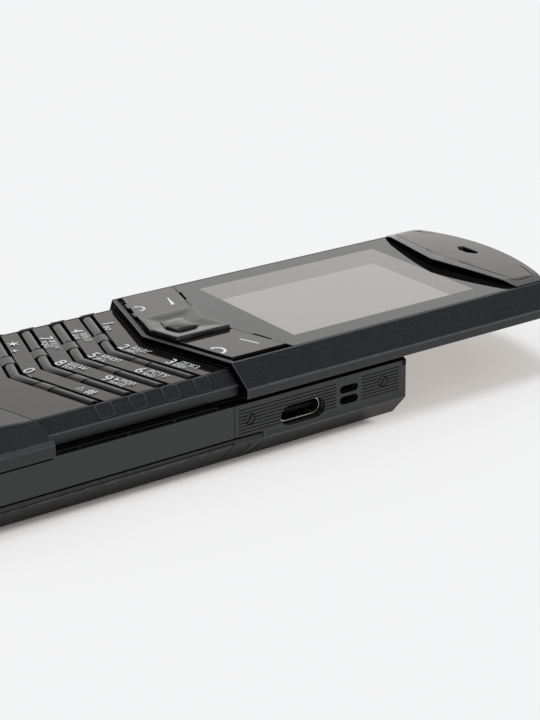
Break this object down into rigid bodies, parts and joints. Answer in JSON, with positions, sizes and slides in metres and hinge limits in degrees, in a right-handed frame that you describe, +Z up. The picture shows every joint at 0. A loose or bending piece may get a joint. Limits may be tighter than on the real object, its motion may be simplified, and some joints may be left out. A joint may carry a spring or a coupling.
{
  "type": "slider phone",
  "caption": "Black slider phone, open: a chevron keypad base with a display slide on side rails, rocker keys, a four-way pad and a raised earpiece cap.",
  "frame": {"origin": "centre of the base's flat rear face, on the surface the phone lies on", "axes": "+Z up from the rear cover through the keypad, +Y towards the earpiece end, +X to the right seen from the front; the slide closes along -Y"},
  "size_m": [0.0466, 0.1359, 0.0184],
  "materials": {
    "satin_black_shell": "satin black, fine grain",
    "rear_shell": "matte black, fine grain",
    "panel_black": "matte black",
    "inner_black": "matte black moulding",
    "gloss_fascia": "high gloss black",
    "key_gloss": "gloss black",
    "glass_black": "clear cover glass over a black border",
    "display": "display panel, switched off",
    "steel": "stamped spring steel",
    "screw_black": "blackened steel",
    "rail_black": "blackened steel rails",
    "usb_steel": "drawn steel shell",
    "circuit": "circuit board laminate",
    "battery_wrap": "wrapped cell",
    "rubber": "silicone rubber",
    "camera_glass": "camera window",
    "magnet": "nickel-plated magnet",
    "flex": "polyimide circuit",
    "copper": "gold-plated contacts"
  },
  "bodies": {
    "base": {"rear_cover": "rear_shell", "main_frame": "satin_black_shell", "base_deck": "inner_black", "side_panel_left": "panel_black", "side_panel_right": "panel_black", "ribbed_panel_left": "panel_black", "ribbed_panel_right": "panel_black", "side_screws": "screw_black", "battery": "battery_wrap", "battery_contacts": "copper", "main_board": "circuit", "usb_shell": "usb_steel", "usb_tongue": "inner_black", "rf_shields": "steel", "sim_holder": "steel", "loudspeaker": "inner_black", "microphone": "steel", "vibration_motor": "steel", "camera_module": "inner_black", "camera_window": "camera_glass", "guide_rails": "rail_black", "edge_strips": "inner_black", "travel_bumpers": "rubber", "base_magnets": "magnet", "keypad_bezel": "satin_black_shell", "keypad_fascia": "gloss_fascia", "keymat": "rubber", "keypad_board": "circuit", "end_cap": "satin_black_shell", "end_cap_plate": "gloss_fascia"},
    "slide": {"slide_frame": "satin_black_shell", "slide_back_cover": "rear_shell", "slide_back_plate": "steel", "display_panel": "display", "cover_glass": "glass_black", "control_board": "circuit", "earpiece_cap": "gloss_fascia", "earpiece_mesh": "steel", "earpiece_receiver": "inner_black", "slide_runners": "rail_black", "slide_flex": "flex", "slide_magnets": "magnet"},
    "dpad_gimbal": {"dpad_pivot": "rubber"},
    "dpad": {"dpad": "key_gloss"},
    "select_button": {"select_button": "key_gloss"},
    "rocker_left": {"rocker_left": "gloss_fascia"},
    "rocker_right": {"rocker_right": "gloss_fascia"},
    "key_1": {"key_1": "key_gloss"},
    "key_2": {"key_2": "key_gloss"},
    "key_3": {"key_3": "key_gloss"},
    "key_4": {"key_4": "key_gloss"},
    "key_5": {"key_5": "key_gloss"},
    "key_6": {"key_6": "key_gloss"},
    "key_7": {"key_7": "key_gloss"},
    "key_8": {"key_8": "key_gloss"},
    "key_9": {"key_9": "key_gloss"},
    "key_star": {"key_star": "key_gloss"},
    "key_0": {"key_0": "key_gloss"},
    "key_hash": {"key_hash": "key_gloss"}
  },
  "joints": [
    {"name": "slide_travel", "type": "slide", "parent": "base", "child": "slide", "axis": [0, -1, 0], "range_m": [0, 0.0359]},
    {"name": "key_1_press", "type": "slide", "parent": "base", "child": "key_1", "axis": [0, 0, -1], "range_m": [0, 0.0003], "stiffness_N_per_m": 300},
    {"name": "key_2_press", "type": "slide", "parent": "base", "child": "key_2", "axis": [0, 0, -1], "range_m": [0, 0.0003], "stiffness_N_per_m": 300},
    {"name": "key_3_press", "type": "slide", "parent": "base", "child": "key_3", "axis": [0, 0, -1], "range_m": [0, 0.0003], "stiffness_N_per_m": 300},
    {"name": "key_4_press", "type": "slide", "parent": "base", "child": "key_4", "axis": [0, 0, -1], "range_m": [0, 0.0003], "stiffness_N_per_m": 300},
    {"name": "key_5_press", "type": "slide", "parent": "base", "child": "key_5", "axis": [0, 0, -1], "range_m": [0, 0.0003], "stiffness_N_per_m": 300},
    {"name": "key_6_press", "type": "slide", "parent": "base", "child": "key_6", "axis": [0, 0, -1], "range_m": [0, 0.0003], "stiffness_N_per_m": 300},
    {"name": "key_7_press", "type": "slide", "parent": "base", "child": "key_7", "axis": [0, 0, -1], "range_m": [0, 0.0003], "stiffness_N_per_m": 300},
    {"name": "key_8_press", "type": "slide", "parent": "base", "child": "key_8", "axis": [0, 0, -1], "range_m": [0, 0.0003], "stiffness_N_per_m": 300},
    {"name": "key_9_press", "type": "slide", "parent": "base", "child": "key_9", "axis": [0, 0, -1], "range_m": [0, 0.0003], "stiffness_N_per_m": 300},
    {"name": "key_star_press", "type": "slide", "parent": "base", "child": "key_star", "axis": [0, 0, -1], "range_m": [0, 0.0003], "stiffness_N_per_m": 300},
    {"name": "key_0_press", "type": "slide", "parent": "base", "child": "key_0", "axis": [0, 0, -1], "range_m": [0, 0.0003], "stiffness_N_per_m": 300},
    {"name": "key_hash_press", "type": "slide", "parent": "base", "child": "key_hash", "axis": [0, 0, -1], "range_m": [0, 0.0003], "stiffness_N_per_m": 300},
    {"name": "dpad_tilt_up_down", "type": "hinge", "parent": "slide", "child": "dpad_gimbal", "pos_m": [0, 0.0116, 0.01633], "axis": [1, 0, 0], "range_deg": [-1.2, 1.2], "stiffness_Nm_per_rad": 0.2},
    {"name": "dpad_tilt_left_right", "type": "hinge", "parent": "dpad_gimbal", "child": "dpad", "pos_m": [0, 0.0116, 0.0165], "axis": [0, 1, 0], "range_deg": [-1.2, 1.2], "stiffness_Nm_per_rad": 0.2},
    {"name": "select_press", "type": "slide", "parent": "slide", "child": "select_button", "axis": [0, 0, -1], "range_m": [0, 0.00015], "stiffness_N_per_m": 300},
    {"name": "rocker_right_tilt", "type": "hinge", "parent": "slide", "child": "rocker_right", "pos_m": [0.01222, 0.01535, 0.0165], "axis": [0.9654, 0.2607, 0], "range_deg": [-1, 1], "stiffness_Nm_per_rad": 0.2},
    {"name": "rocker_left_tilt", "type": "hinge", "parent": "slide", "child": "rocker_left", "pos_m": [-0.01222, 0.01535, 0.0165], "axis": [0.9654, -0.2607, 0], "range_deg": [-1, 1], "stiffness_Nm_per_rad": 0.2}
  ]
}
